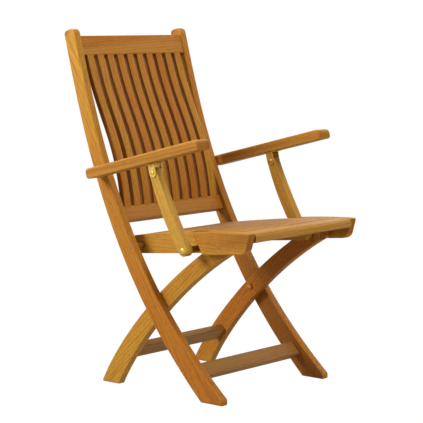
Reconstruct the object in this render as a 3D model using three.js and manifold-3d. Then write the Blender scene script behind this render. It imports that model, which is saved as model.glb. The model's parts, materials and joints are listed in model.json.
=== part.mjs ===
// Folding armchair in oiled teak, in millimetres, +Z up.
// The chair faces -Y and +X is the sitter's left, so the right-hand parts lie at negative X.
// Side outlines are (y, z) pairs measured from the front foot and get their thickness along X.
import * as THREE from "three";
import { mergeVertices } from "three/addons/utils/BufferGeometryUtils.js";
import Module from "manifold-3d";

const wasm = await Module();
wasm.setup();

const flat = (y, z) => new THREE.Vector2(y, z);

// Layers across the chair, from the outside of the back frame inwards and outwards.
const frame_half_width = 213;
const board_thickness = 22;
const layer_gap = 1;
const arm_gap = 1.5;
const arm_width = 46;
const support_gap = 5;

// Clearances and edge finishes.
const joint_gap = 0.3;
const pivot_gap = 0.4;
const edge_ease = 2.5;
const slim_ease = 1.5;
const section_round = 3;

// Back stile: one curved, tapering board from the front foot to the top of the back.
const stile_foot_y = -37;
const stile_top = flat(447, 897);
const stile_low_pull = flat(296, 300);
const stile_high_pull = flat(382, 650);
const stile_foot_width = 51;
const stile_top_width = 37;
const stile_top_round = 12;
const stile_steps = 20;
const foot_run_on = 60;
const toe_y = -63;
const toe_round = 8;

// Cross leg: the shorter curved board from the rear foot up under the front of the seat.
const leg_foot_y = 335;
const leg_low_pull = flat(282.5, 103.6);
const leg_high_pull = flat(136.4, 279.3);
const leg_end = flat(-63.2, 392);
const leg_foot_width = 45;
const leg_top_width = 35;
const leg_steps = 16;
const leg_run_on = 40;
const leg_front_y = -82;
const leg_top_z = 398;
const leg_top_round = 9;
const leg_foot_round = 3;

// Rails of the back, stretchers of both leg pairs: height of the middle, size, set-in.
const top_rail = { middle_z: 854, height: 50, thickness: 22, inset: 3 };
const lower_rail = { middle_z: 434, height: 39, thickness: 22, inset: 11.5 };
const front_stretcher = { middle_z: 67, height: 39.5, thickness: 20, inset: 15 };
const rear_stretcher = { middle_z: 95, height: 39, thickness: 20, inset: 1.5 };
const tenon_length = 14;
const tenon_shoulder = 6;

// Slats of the back: the front face follows one curve with a swell for the small of the back.
const back_slat_count = 10;
const back_slat_width = 23;
const back_slat_thickness = 16;
const back_slat_steps = 12;
const back_slat_run_on = 4;
const back_slat_foot = flat(286.8, 446);
const back_slat_low_pull = flat(305.5, 636);
const back_slat_high_pull = flat(368.5, 666);
const back_slat_head = flat(419.5, 846);

// Pivots. Arm pivot and seat pivot make a parallelogram with the two ends of the support bar.
const leg_pivot = flat(161, 223);
const seat_pivot = flat(236, 360);
const support_foot_pivot = flat(38, 371);
const support_head_pivot = flat(133, 553);
const arm_pivot = seat_pivot.clone().add(support_head_pivot).sub(support_foot_pivot);
const bolt_radius = 4;
const head_radius = 6.5;
const head_height = 4;
const nut_height = 5;
const dome_radius = 8;
const dome_height = 3;
const plug_radius = 7.5;
const plug_depth = 4;
const spacer_radius = 8;

// Seat: dished cross slats between side rails, with the front three running to the cheeks.
const seat_front_y = -149;
const seat_rear_y = 254;
const seat_front_z = 425;
const seat_fall = 40.5;
const seat_dish_power = 1.6;
const seat_slat_count = 8;
const rail_slat_count = 5;
const seat_slat_gap = 7;
const seat_slat_thickness = 18;
const nosing_thickness = 22.5;
const nosing_round = 12;
const seat_tenon_length = 12;
const cheek_tenon_length = 9;
const seat_tenon_end = 9;
const seat_tenon_shoulder = 4;
const rail_rear_y = 284;
const rail_front_y = -87;
const rail_step_y = 1.2;
const rail_rear_round = 20;
const rail_bottom_z = 361.3;
const rail_bottom_slope = -0.092;
const cheek_rear_y = 31;
const cheek_low_rear_y = 1;
const cheek_low_front_y = -135;
const cheek_corner_round = 22;
const cheek_plug = flat(-53, 388);

// Rod between the cross legs on which the seat rails rest; it leaves its notch down and back.
const rod = flat(-60, 388);
const rod_radius = 5;
const rod_depth = 16;
const notch_wall_lean = THREE.MathUtils.degToRad(38);
const notch_drop = 30;

// Arms, the support bars that swing under them and the brackets between.
const arm_rise = THREE.MathUtils.degToRad(14);
const arm_thickness = 26;
const arm_reach = 370;
const arm_front_round = 12;
const arm_rear_round = 8;
const arm_bolt_depth = 28;
const support_foot_width = 28;
const support_head_width = 26;
const support_swell = 4;
const support_bow = 12;
const support_steps = 8;
const bracket_sheet = 2;
const bracket_length = 40;
const bracket_ear_width = 22;
const rivet_radius = 3;
const rivet_head_radius = 5;
const rivet_head_height = 1.2;

const looks = {
  stile: { color: 0xc08636, roughness: 0.55, metalness: 0 },
  rail: { color: 0xb87630, roughness: 0.55, metalness: 0 },
  slat: { color: 0xb4742c, roughness: 0.58, metalness: 0 },
  leg: { color: 0xbc7c30, roughness: 0.55, metalness: 0 },
  seat: { color: 0xc48838, roughness: 0.52, metalness: 0 },
  arm: { color: 0xbe7c34, roughness: 0.5, metalness: 0 },
  support: { color: 0xccaa4c, roughness: 0.55, metalness: 0 },
  plug: { color: 0x9c5c24, roughness: 0.6, metalness: 0 },
  brass: { color: 0xb08d45, roughness: 0.35, metalness: 1 },
  steel: { color: 0x9a9a98, roughness: 0.4, metalness: 1 },
};

// Layers that follow from the widths above.
const stile_layer = [frame_half_width - board_thickness, frame_half_width];
const leg_layer = [stile_layer[0] - layer_gap - board_thickness, stile_layer[0] - layer_gap];
const rail_layer = [leg_layer[0] - layer_gap - board_thickness, leg_layer[0] - layer_gap];
const arm_layer = [frame_half_width + arm_gap, frame_half_width + arm_gap + arm_width];
const support_layer = [frame_half_width + support_gap, frame_half_width + support_gap + board_thickness];
const seat_slat_pitch = (seat_rear_y - seat_front_y + seat_slat_gap) / seat_slat_count;
const seat_slat_width = seat_slat_pitch - seat_slat_gap;

const stile_line = new THREE.CubicBezierCurve(flat(stile_foot_y, 0), stile_low_pull, stile_high_pull, stile_top);
const leg_line = new THREE.CubicBezierCurve(flat(leg_foot_y, 0), leg_low_pull, leg_high_pull, leg_end);
const back_slat_line = new THREE.CubicBezierCurve(
  back_slat_foot,
  back_slat_low_pull,
  back_slat_high_pull,
  back_slat_head,
);

// Widths fall quickly above the foot and slowly towards the top.
const stile_half = (share) => taper(stile_foot_width, stile_top_width, share) / 2;
const leg_half = (share) => taper(leg_foot_width, leg_top_width, share) / 2;

function taper(foot, top, share) {
  return foot + (top - foot) * (1 - (1 - share) ** 1.5);
}

// Keeps the part of a closed outline that lies on the normal's side of a line.
function clip(points, through, normal) {
  const kept = [];
  points.forEach((here, i) => {
    const next = points[(i + 1) % points.length];
    const here_side = here.clone().sub(through).dot(normal);
    const next_side = next.clone().sub(through).dot(normal);
    if (here_side >= 0) kept.push(here);
    if ((here_side >= 0) !== (next_side >= 0)) {
      kept.push(here.clone().lerp(next, here_side / (here_side - next_side)));
    }
  });
  return kept;
}

// Rounds the chosen corners of an outline; gentle bends of a curved edge are left alone.
function soften(points, radius, chosen = () => true) {
  return points.flatMap((here, i) => {
    const back = points[(i + points.length - 1) % points.length].clone().sub(here);
    const ahead = points[(i + 1) % points.length].clone().sub(here);
    const turn = Math.PI - back.angleTo(ahead);
    if (turn < 0.4 || !chosen(here)) return [here];
    const reach = Math.min(radius * Math.tan(turn / 2), 0.46 * back.length(), 0.46 * ahead.length());
    const start = here.clone().add(back.setLength(reach));
    const end = here.clone().add(ahead.setLength(reach));
    const pieces = radius > 5 ? 4 : 2;
    return new THREE.QuadraticBezierCurve(start, here, end).getPoints(pieces);
  });
}

// Point, direction and rearward normal at a share of a side curve.
function station(curve, share) {
  const along = curve.getTangentAt(share);
  return { share, point: curve.getPointAt(share), along, rearward: flat(along.y, -along.x) };
}

function station_at_height(curve, height) {
  let low = 0;
  let high = 1;
  while (high - low > 1e-6) {
    const middle = (low + high) / 2;
    if (curve.getPointAt(middle).y < height) low = middle;
    else high = middle;
  }
  return station(curve, low);
}

// Outline of a board between two offsets from a curve, running on straight at its two ends.
function ribbon(curve, front_at, rear_at, steps, run_on = [0, 0]) {
  const stations = Array.from({ length: steps + 1 }, (_, i) => station(curve, i / steps));
  stations[0].point.addScaledVector(stations[0].along, -run_on[0]);
  stations[steps].point.addScaledVector(stations[steps].along, run_on[1]);
  const edge = (offset_at) => stations.map((here) => (
    here.point.clone().addScaledVector(here.rearward, offset_at(here.share))
  ));
  return edge(rear_at).concat(edge(front_at).reverse());
}

// Section of a cross rail set square into curved side boards, measured from their front edge.
function rail_section(curve, half_at, rail, trim = 0) {
  const here = station_at_height(curve, rail.middle_z);
  const half = rail.height / 2 - trim;
  const front = rail.inset - half_at(here.share) + trim;
  const rear = front + rail.thickness - 2 * trim;
  const corner = (up, rearward) => (
    here.point.clone().addScaledVector(here.along, up).addScaledVector(here.rearward, rearward)
  );
  return [corner(-half, front), corner(-half, rear), corner(half, rear), corner(half, front)];
}

// Solid from a side outline between two X planes, with its long edges eased.
function board(outline, [x_from, x_to], ease = 0) {
  const geometry = new THREE.ExtrudeGeometry(new THREE.Shape(outline), {
    depth: x_to - x_from - 2 * ease,
    bevelEnabled: ease > 0,
    bevelThickness: ease,
    bevelSize: ease,
    bevelOffset: -ease,
    bevelSegments: 1,
  });
  geometry.translate(0, 0, ease + x_from);
  const y_axis = new THREE.Vector3(0, 1, 0);
  const z_axis = new THREE.Vector3(0, 0, 1);
  const x_axis = new THREE.Vector3(1, 0, 0);
  return geometry.applyMatrix4(new THREE.Matrix4().makeBasis(y_axis, z_axis, x_axis));
}

// Round bar along X; a second radius makes it a cone.
function pin(centre, radius, [x_from, x_to], sides = 16, radius_to = radius) {
  const geometry = new THREE.CylinderGeometry(radius_to, radius, x_to - x_from, sides);
  geometry.rotateZ(-Math.PI / 2);
  return geometry.translate((x_from + x_to) / 2, centre.x, centre.y);
}

// Domed head with its flat at one X and its crown at the other.
function dome(centre, x_flat, x_crown) {
  const low = Math.min(x_flat, x_crown);
  const high = Math.max(x_flat, x_crown);
  const crown = dome_radius * 0.6;
  const radii = x_flat < x_crown ? [dome_radius, crown] : [crown, dome_radius];
  return pin(centre, radii[0], [low, high], 16, radii[1]);
}

function solid(geometry) {
  const bare = geometry.clone();
  bare.deleteAttribute("normal");
  bare.deleteAttribute("uv");
  const merged = mergeVertices(bare, 1e-4);
  return new wasm.Manifold(new wasm.Mesh({
    numProp: 3,
    vertProperties: new Float32Array(merged.attributes.position.array),
    triVerts: new Uint32Array(merged.index.array),
  }));
}

function geometry_of(shape) {
  const mesh = shape.getMesh();
  const geometry = new THREE.BufferGeometry();
  geometry.setAttribute("position", new THREE.BufferAttribute(new Float32Array(mesh.vertProperties), 3));
  geometry.setIndex(new THREE.BufferAttribute(new Uint32Array(mesh.triVerts), 1));
  geometry.computeVertexNormals();
  return geometry;
}

function cut(base, tools) {
  return geometry_of(tools.reduce((shape, tool) => shape.subtract(solid(tool)), solid(base)));
}

function join(base, others) {
  return geometry_of(others.reduce((shape, other) => shape.add(solid(other)), solid(base)));
}

// X span of a piece between two distances from the middle plane, on one side of the chair.
function span(side, inner, outer) {
  return side > 0 ? [inner, outer] : [-outer, -inner];
}

function layer(side, limits) {
  return span(side, limits[0], limits[1]);
}

// Every moving body is a group that stands on its own pivot.
const chair = new THREE.Group();
chair.userData.pivot = flat(0, 0);

function body_on(parent, pivot) {
  const body = new THREE.Group();
  body.userData.pivot = pivot;
  body.position.set(0, pivot.x - parent.userData.pivot.x, pivot.y - parent.userData.pivot.y);
  parent.add(body);
  return body;
}

function place(body, name, geometry, look) {
  const pivot = body.userData.pivot;
  geometry.translate(0, -pivot.x, -pivot.y);
  const mesh = new THREE.Mesh(geometry, new THREE.MeshStandardMaterial(looks[look]));
  mesh.name = name;
  body.add(mesh);
}

function hole(side, centre, limits) {
  return pin(centre, bolt_radius + pivot_gap, span(side, limits[0] - 5, limits[1] + 5));
}

function plug_bore(side, centre, depth) {
  return pin(centre, plug_radius + joint_gap, span(side, frame_half_width - depth, frame_half_width + 5));
}

function plug(side, centre) {
  return pin(centre, plug_radius, span(side, frame_half_width - plug_depth, frame_half_width));
}

const bore_depth = plug_depth + head_height + 2 * joint_gap;

function stile(side) {
  const whole = ribbon(stile_line, (s) => -stile_half(s), stile_half, stile_steps, [foot_run_on, 0]);
  const standing = clip(whole, flat(0, 0), flat(0, 1));
  const is_low = (corner) => corner.y < stile_top.y / 2;
  const shod = soften(clip(standing, flat(toe_y, 0), flat(1, 0)), toe_round, is_low);
  const outline = soften(shod, stile_top_round, (corner) => !is_low(corner));
  const mortise_span = span(side, stile_layer[0] - 5, stile_layer[0] + tenon_length + joint_gap);
  const mortises = [top_rail, lower_rail, front_stretcher].map((rail) => (
    board(rail_section(stile_line, stile_half, rail, tenon_shoulder - joint_gap), mortise_span)
  ));
  const bolts = [seat_pivot, leg_pivot].flatMap((centre) => [
    hole(side, centre, stile_layer),
    plug_bore(side, centre, bore_depth),
  ]);
  return cut(board(outline, layer(side, stile_layer), edge_ease), [
    ...mortises,
    ...bolts,
    hole(side, arm_pivot, stile_layer),
  ]);
}

// Cross rail with a shouldered tenon at each end.
function cross_rail(curve, half_at, rail, shoulder_x) {
  const section = soften(rail_section(curve, half_at, rail), section_round);
  const tenon = rail_section(curve, half_at, rail, tenon_shoulder);
  const shoulder = shoulder_x - joint_gap;
  const end = shoulder_x + tenon_length;
  return join(board(section, [-shoulder, shoulder]), [board(tenon, [-end, end])]);
}

function back_slat_outline(grow) {
  const run_on = [back_slat_run_on + grow, grow];
  return ribbon(back_slat_line, () => -grow, () => back_slat_thickness + grow, back_slat_steps, run_on);
}

function back_slat_x(index) {
  const free = 2 * stile_layer[0] - back_slat_count * back_slat_width;
  const gap = free / (back_slat_count + 1);
  return -stile_layer[0] + gap + back_slat_width / 2 + index * (back_slat_width + gap);
}

function housed_rail(rail) {
  const half = back_slat_width / 2 + joint_gap;
  const housings = Array.from({ length: back_slat_count }, (_, i) => (
    board(back_slat_outline(joint_gap), [back_slat_x(i) - half, back_slat_x(i) + half])
  ));
  return cut(cross_rail(stile_line, stile_half, rail, stile_layer[0]), housings);
}

function back_slat(index) {
  const middle = back_slat_x(index);
  const half = back_slat_width / 2;
  return board(back_slat_outline(0), [middle - half, middle + half], slim_ease);
}

function cross_leg(side) {
  const whole = ribbon(leg_line, (s) => -leg_half(s), leg_half, leg_steps, [foot_run_on, leg_run_on]);
  const standing = clip(whole, flat(0, 0), flat(0, 1));
  const topped = clip(standing, flat(0, leg_top_z), flat(0, -1));
  const short = clip(topped, flat(leg_front_y, 0), flat(1, 0));
  const is_low = (corner) => corner.y < leg_top_z / 2;
  const shod = soften(short, leg_foot_round, is_low);
  const outline = soften(shod, leg_top_round, (corner) => !is_low(corner));
  const mortise = board(
    rail_section(leg_line, leg_half, rear_stretcher, tenon_shoulder - joint_gap),
    span(side, leg_layer[0] - 5, leg_layer[0] + tenon_length + joint_gap),
  );
  const rod_end = leg_layer[0] + rod_depth + joint_gap;
  const rod_hole = pin(rod, rod_radius + joint_gap, span(side, leg_layer[0] - 5, rod_end));
  return cut(board(outline, layer(side, leg_layer), edge_ease), [
    mortise,
    rod_hole,
    hole(side, leg_pivot, leg_layer),
  ]);
}

// Top of the seat: level at the front edge and dished towards the back.
function seat_top(y) {
  const share = THREE.MathUtils.clamp((y - seat_front_y) / (seat_rear_y - seat_front_y), 0, 1.1);
  return seat_front_z - seat_fall * share ** seat_dish_power;
}

function rail_bottom(y) {
  return rail_bottom_z + rail_bottom_slope * y;
}

function top_line(y_from, y_to, drop, count = 6) {
  return Array.from({ length: count + 1 }, (_, i) => {
    const y = THREE.MathUtils.lerp(y_from, y_to, i / count);
    return flat(y, seat_top(y) - drop);
  });
}

// Section of a seat slat, counted from the rear; the last one is the thicker nosing.
function seat_slat_section(index, trim_end = 0, trim_face = 0) {
  const rear = seat_rear_y - index * seat_slat_pitch - trim_end;
  const front = rear - seat_slat_width + 2 * trim_end;
  const thickness = index === seat_slat_count - 1 ? nosing_thickness : seat_slat_thickness;
  const top = top_line(rear, front, trim_face, 2);
  const under = top_line(front, rear, thickness - trim_face, 2);
  return top.concat(under);
}

function seat_slat_mortise(index, limits) {
  const section = seat_slat_section(index, seat_tenon_end - joint_gap, seat_tenon_shoulder - joint_gap);
  return board(section, limits);
}

function seat_slat(index) {
  const between_rails = index < rail_slat_count;
  const shoulder = (between_rails ? rail_layer[0] : stile_layer[0]) - joint_gap;
  const reach = shoulder + joint_gap + (between_rails ? seat_tenon_length : cheek_tenon_length);
  const is_nosing = index === seat_slat_count - 1;
  let section = soften(seat_slat_section(index), section_round, (corner) => !is_nosing || corner.x > seat_front_y);
  if (is_nosing) section = soften(section, nosing_round, (corner) => corner.x === seat_front_y);
  const tenon = seat_slat_section(index, seat_tenon_end, seat_tenon_shoulder);
  return join(board(section, [-shoulder, shoulder]), [board(tenon, [-reach, reach])]);
}

// Notch under a seat rail: round over the rod, open downwards and to the rear.
function rod_notch() {
  const radius = rod_radius + joint_gap;
  const crown = new THREE.EllipseCurve(rod.x, rod.y, radius, radius, notch_wall_lean, Math.PI).getPoints(10);
  const lip = crown[0];
  const rear_low = flat(lip.x + Math.tan(notch_wall_lean) * notch_drop, lip.y - notch_drop);
  const front_low = flat(rod.x - radius, lip.y - notch_drop);
  return [...crown, front_low, rear_low];
}

function seat_rail(side) {
  const outline = [
    ...top_line(rail_rear_y, rail_step_y, 0),
    ...top_line(rail_step_y, rail_front_y, seat_slat_thickness + joint_gap, 2),
    flat(rail_front_y, rail_bottom(rail_front_y)),
    flat(rail_rear_y, rail_bottom(rail_rear_y)),
  ];
  const rounded = soften(outline, rail_rear_round, (corner) => corner.x > rail_step_y);
  const finished = soften(rounded, section_round, (corner) => corner.x === rail_front_y);
  const mortise_span = span(side, rail_layer[0] - 5, rail_layer[0] + seat_tenon_length + joint_gap);
  const mortises = Array.from({ length: rail_slat_count }, (_, i) => seat_slat_mortise(i, mortise_span));
  return cut(board(finished, layer(side, rail_layer), slim_ease), [
    ...mortises,
    board(rod_notch(), span(side, rail_layer[0] - 5, rail_layer[1] + 5)),
    hole(side, seat_pivot, rail_layer),
    hole(side, support_foot_pivot, rail_layer),
  ]);
}

function seat_cheek(side) {
  const outline = [
    ...top_line(cheek_rear_y, seat_front_y, 0),
    flat(cheek_low_front_y, rail_bottom(cheek_low_front_y)),
    flat(cheek_low_rear_y, rail_bottom(cheek_low_rear_y)),
  ];
  const is_big = (corner) => corner.x === cheek_low_front_y;
  const finished = soften(soften(outline, section_round, (corner) => !is_big(corner)), cheek_corner_round, is_big);
  const mortise_span = span(side, stile_layer[0] - 5, stile_layer[0] + cheek_tenon_length + joint_gap);
  const mortises = [];
  for (let index = rail_slat_count; index < seat_slat_count; index += 1) {
    mortises.push(seat_slat_mortise(index, mortise_span));
  }
  return cut(board(finished, layer(side, stile_layer), edge_ease), [
    ...mortises,
    plug_bore(side, cheek_plug, plug_depth + joint_gap),
  ]);
}

// Bolt from a head outside to a nut inside, with its shank between.
function pivot_bolt(side, centre, head_to, nut_from) {
  const shank = pin(centre, bolt_radius, span(side, nut_from - nut_height, head_to));
  const head = pin(centre, head_radius, span(side, head_to - head_height, head_to));
  const nut = pin(centre, head_radius, span(side, nut_from - nut_height, nut_from), 6);
  return join(shank, [head, nut]);
}

function spacer(side, centre, inner, outer) {
  const limits = span(side, inner + joint_gap, outer - joint_gap);
  const bore = pin(centre, bolt_radius + joint_gap, span(side, inner - 5, outer + 5));
  return cut(pin(centre, spacer_radius, limits), [bore]);
}

// Bolt that is driven from inside the stile into the arm, with a domed head inside.
function arm_bolt(side) {
  const head_flat = stile_layer[0] - joint_gap;
  const head_crown = head_flat - dome_height;
  const shank = pin(arm_pivot, bolt_radius, span(side, head_crown + 1, arm_layer[0] + arm_bolt_depth));
  return join(shank, [dome(arm_pivot, side * head_flat, side * head_crown)]);
}

// Bolt through the support bar, the spacer and the seat rail, with its domed head outside.
function support_bolt(side) {
  const head_flat = support_layer[1] + joint_gap;
  const nut_from = rail_layer[0] - joint_gap;
  const shank = pin(support_foot_pivot, bolt_radius, span(side, nut_from - nut_height, head_flat + 1));
  const nut = pin(support_foot_pivot, head_radius, span(side, nut_from - nut_height, nut_from), 6);
  return join(shank, [nut, dome(support_foot_pivot, side * head_flat, side * (head_flat + dome_height))]);
}

// Point given by its distance forward along the arm and above the arm's middle line.
function on_arm(forward, above) {
  const ahead = flat(-Math.cos(arm_rise), Math.sin(arm_rise));
  const upward = flat(Math.sin(arm_rise), Math.cos(arm_rise));
  return arm_pivot.clone().addScaledVector(ahead, forward).addScaledVector(upward, above);
}

function armrest(side) {
  const half = arm_thickness / 2;
  const outline = [on_arm(-half, half), on_arm(arm_reach, half), on_arm(arm_reach, -half), on_arm(-half, -half)];
  const is_rear = (corner) => corner.x > arm_pivot.x;
  const finished = soften(soften(outline, arm_rear_round, is_rear), arm_front_round, (corner) => !is_rear(corner));
  const bolt_end = arm_layer[0] + arm_bolt_depth + joint_gap;
  const bolt_bore = pin(arm_pivot, bolt_radius + pivot_gap, span(side, arm_layer[0] - 5, bolt_end));
  return cut(board(finished, layer(side, arm_layer), edge_ease), [bolt_bore]);
}

// Where the support's head pivot lies, measured along and below the arm.
const head_offset = support_head_pivot.clone().sub(arm_pivot);
const head_forward = head_offset.dot(flat(-Math.cos(arm_rise), Math.sin(arm_rise)));
const head_below = head_offset.dot(flat(Math.sin(arm_rise), Math.cos(arm_rise)));
const ear_inner = support_layer[0] - joint_gap;
const ear_outer = support_layer[1] + joint_gap;

function arm_bracket(side) {
  const top = -arm_thickness / 2 - joint_gap;
  const plate_half = bracket_length / 2;
  const ear_half = bracket_ear_width / 2;
  const ear_low = head_below - ear_half;
  const plate = [
    on_arm(head_forward - plate_half, top),
    on_arm(head_forward + plate_half, top),
    on_arm(head_forward + plate_half, top - bracket_sheet),
    on_arm(head_forward - plate_half, top - bracket_sheet),
  ];
  const ear = soften([
    on_arm(head_forward - ear_half, top),
    on_arm(head_forward + ear_half, top),
    on_arm(head_forward + ear_half, ear_low),
    on_arm(head_forward - ear_half, ear_low),
  ], ear_half, (corner) => corner.distanceTo(support_head_pivot) < bracket_ear_width);
  const ears = [
    board(ear, span(side, ear_inner - bracket_sheet, ear_inner)),
    board(ear, span(side, ear_outer, ear_outer + bracket_sheet)),
  ];
  const channel = join(board(plate, span(side, ear_inner - bracket_sheet, ear_outer + bracket_sheet)), ears);
  const bore_span = span(side, ear_inner - 5, ear_outer + 5);
  return cut(channel, [pin(support_head_pivot, rivet_radius + joint_gap, bore_span)]);
}

function bracket_rivet(side) {
  const inner = ear_inner - bracket_sheet - joint_gap;
  const outer = ear_outer + bracket_sheet + joint_gap;
  const shank_span = span(side, inner - rivet_head_height / 2, outer + rivet_head_height / 2);
  return join(pin(support_head_pivot, rivet_radius, shank_span), [
    pin(support_head_pivot, rivet_head_radius, span(side, inner - rivet_head_height, inner)),
    pin(support_head_pivot, rivet_head_radius, span(side, outer, outer + rivet_head_height)),
  ]);
}

function arm_support(side) {
  const middle = support_foot_pivot.clone().lerp(support_head_pivot, 0.5);
  const up = support_head_pivot.clone().sub(support_foot_pivot).normalize();
  middle.addScaledVector(flat(up.y, -up.x), support_bow);
  const line = new THREE.QuadraticBezierCurve(support_foot_pivot, middle, support_head_pivot);
  const half_at = (share) => (
    THREE.MathUtils.lerp(support_foot_width, support_head_width, share) / 2
    + support_swell / 2 * Math.sin(Math.PI * share)
  );
  const run_on = [support_foot_width / 2, support_head_width / 2];
  const outline = ribbon(line, (s) => -half_at(s), half_at, support_steps, run_on);
  const rounded = soften(outline, support_foot_width / 2);
  return cut(board(rounded, layer(side, support_layer), slim_ease), [
    hole(side, support_foot_pivot, support_layer),
    pin(support_head_pivot, rivet_radius + pivot_gap, span(side, support_layer[0] - 5, support_layer[1] + 5)),
  ]);
}

const back_frame = body_on(chair, flat(0, 0));
const cross_legs = body_on(back_frame, leg_pivot);
const seat = body_on(back_frame, seat_pivot);

place(back_frame, "top_rail", housed_rail(top_rail), "rail");
place(back_frame, "lower_rail", housed_rail(lower_rail), "rail");
place(back_frame, "front_stretcher", cross_rail(stile_line, stile_half, front_stretcher, stile_layer[0]), "rail");
for (let i = 0; i < back_slat_count; i += 1) {
  place(back_frame, `back_slat_${String(i + 1).padStart(2, "0")}`, back_slat(i), "slat");
}

place(cross_legs, "rear_stretcher", cross_rail(leg_line, leg_half, rear_stretcher, leg_layer[0]), "rail");
const rod_half_length = leg_layer[0] + rod_depth;
place(cross_legs, "leg_top_rod", pin(rod, rod_radius, [-rod_half_length, rod_half_length]), "leg");

for (let i = 0; i < seat_slat_count; i += 1) {
  const name = i === seat_slat_count - 1 ? "seat_front_slat" : `seat_slat_${i + 1}`;
  place(seat, name, seat_slat(i), "seat");
}

for (const [hand, side] of [["right", -1], ["left", 1]]) {
  const bolt_head = frame_half_width - plug_depth - joint_gap;
  place(back_frame, `stile_${hand}`, stile(side), "stile");
  place(back_frame, `seat_pivot_plug_${hand}`, plug(side, seat_pivot), "plug");
  place(back_frame, `leg_pivot_plug_${hand}`, plug(side, leg_pivot), "plug");
  const seat_bolt = pivot_bolt(side, seat_pivot, bolt_head, rail_layer[0] - joint_gap);
  const leg_bolt = pivot_bolt(side, leg_pivot, bolt_head, leg_layer[0] - joint_gap);
  place(back_frame, `seat_pivot_bolt_${hand}`, seat_bolt, "steel");
  place(back_frame, `leg_pivot_bolt_${hand}`, leg_bolt, "steel");
  place(back_frame, `seat_pivot_spacer_${hand}`, spacer(side, seat_pivot, rail_layer[1], stile_layer[0]), "rail");
  place(back_frame, `arm_pivot_bolt_${hand}`, arm_bolt(side), "brass");

  place(cross_legs, `cross_leg_${hand}`, cross_leg(side), "leg");

  const support_spacer = spacer(side, support_foot_pivot, rail_layer[1], support_layer[0]);
  place(seat, `seat_rail_${hand}`, seat_rail(side), "seat");
  place(seat, `seat_cheek_${hand}`, seat_cheek(side), "seat");
  place(seat, `seat_cheek_plug_${hand}`, plug(side, cheek_plug), "plug");
  place(seat, `support_pivot_bolt_${hand}`, support_bolt(side), "brass");
  place(seat, `support_spacer_${hand}`, support_spacer, "rail");

  const arm = body_on(back_frame, arm_pivot);
  place(arm, `armrest_${hand}`, armrest(side), "arm");
  place(arm, `arm_bracket_${hand}`, arm_bracket(side), "brass");
  place(arm, `bracket_rivet_${hand}`, bracket_rivet(side), "brass");

  const support = body_on(seat, support_foot_pivot);
  place(support, `arm_support_${hand}`, arm_support(side), "support");
}

// The origin is the middle of the floor rectangle that the open chair covers.
const cover = new THREE.Box3().setFromObject(chair);
chair.position.y = -(cover.min.y + cover.max.y) / 2;

export default chair;
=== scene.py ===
"""Folding armchair in oiled teak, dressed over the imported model.

Outlines are (depth, height) pairs in millimetres in the chair's side view: depth has its
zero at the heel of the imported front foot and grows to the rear, height starts at the
floor. The third direction, across, runs to the sitter's left from the middle plane.
"""

import json
import logging
import math
from dataclasses import dataclass, field
from enum import Enum
from typing import Any, Mapping, Optional, Sequence, Union

import bpy
import numpy as np
from mathutils import Matrix, Vector


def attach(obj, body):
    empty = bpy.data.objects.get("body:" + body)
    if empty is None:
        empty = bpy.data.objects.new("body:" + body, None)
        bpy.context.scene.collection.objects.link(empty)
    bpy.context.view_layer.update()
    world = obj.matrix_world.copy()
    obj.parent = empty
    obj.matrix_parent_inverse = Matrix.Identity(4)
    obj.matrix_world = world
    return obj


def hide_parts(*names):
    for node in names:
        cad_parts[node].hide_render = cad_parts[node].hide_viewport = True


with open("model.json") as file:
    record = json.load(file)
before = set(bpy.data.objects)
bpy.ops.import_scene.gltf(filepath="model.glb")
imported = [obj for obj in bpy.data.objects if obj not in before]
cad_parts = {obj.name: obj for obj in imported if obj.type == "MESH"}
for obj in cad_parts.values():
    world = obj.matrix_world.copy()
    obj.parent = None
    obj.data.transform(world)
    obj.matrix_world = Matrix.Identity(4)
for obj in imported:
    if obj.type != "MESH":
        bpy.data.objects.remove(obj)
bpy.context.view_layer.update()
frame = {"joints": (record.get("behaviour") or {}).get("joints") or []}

log = logging.getLogger("armchair")

Array = np.ndarray
Pair = tuple[float, float]
Profile = list[Pair]
Socket = Union[str, int]

METRES = 0.001
HAIRLINE = 0.3
PIN_RADIUS = 4.0
HEAD_RADIUS = 8.0
WHITE = (1.0, 1.0, 1.0, 1.0)

SEAT_PIVOT = (236.0, 360.0)
LEG_PIVOT = (161.0, 223.0)
LEG_ROD = (-60.0, 388.0)
SUPPORT_FOOT = (38.0, 371.0)
SUPPORT_HEAD = (133.0, 553.0)
ARM_PIVOT = tuple(seat + head - foot for seat, head, foot in zip(SEAT_PIVOT, SUPPORT_HEAD, SUPPORT_FOOT))
SEAT_FOLD = next(joint for joint in frame["joints"] if joint["name"] == "seat_fold")
DEPTH_SHIFT = 1000.0 * SEAT_FOLD["pos_m"][1] - SEAT_PIVOT[0]


class Hand(Enum):
    """One side of the chair; the value is the sign of the across direction."""

    RIGHT = -1
    LEFT = 1

    @property
    def word(self) -> str:
        """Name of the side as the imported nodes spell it."""
        return self.name.lower()

    def span(self, inner: float, outer: float) -> Pair:
        """Across limits of a piece between two distances from the middle plane."""
        return (inner, outer) if self is Hand.LEFT else (-outer, -inner)

    def profile(self, pairs: Profile) -> Profile:
        """Profile given for the left side, for this side, always from low across to high across."""
        return pairs if self is Hand.LEFT else [(-across, radius) for across, radius in reversed(pairs)]


class Run(Enum):
    """Which way the wood's fibres run in a piece."""

    SIDE = "in the side view"
    ACROSS = "across the chair"


def unit(vectors: Array) -> Array:
    """Vectors divided by their lengths."""
    return vectors / np.linalg.norm(vectors, axis=-1, keepdims=True)


def rearward(along: Array) -> Array:
    """Directions turned a quarter clockwise, which points to the rear of a rising board."""
    return np.stack([along[..., 1], -along[..., 0]], axis=-1)


def ramp(values: Array, low: float, high: float) -> Array:
    """Share of the way from low to high, held between 0 and 1."""
    return np.clip((values - low) / (high - low), 0.0, 1.0)


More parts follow.
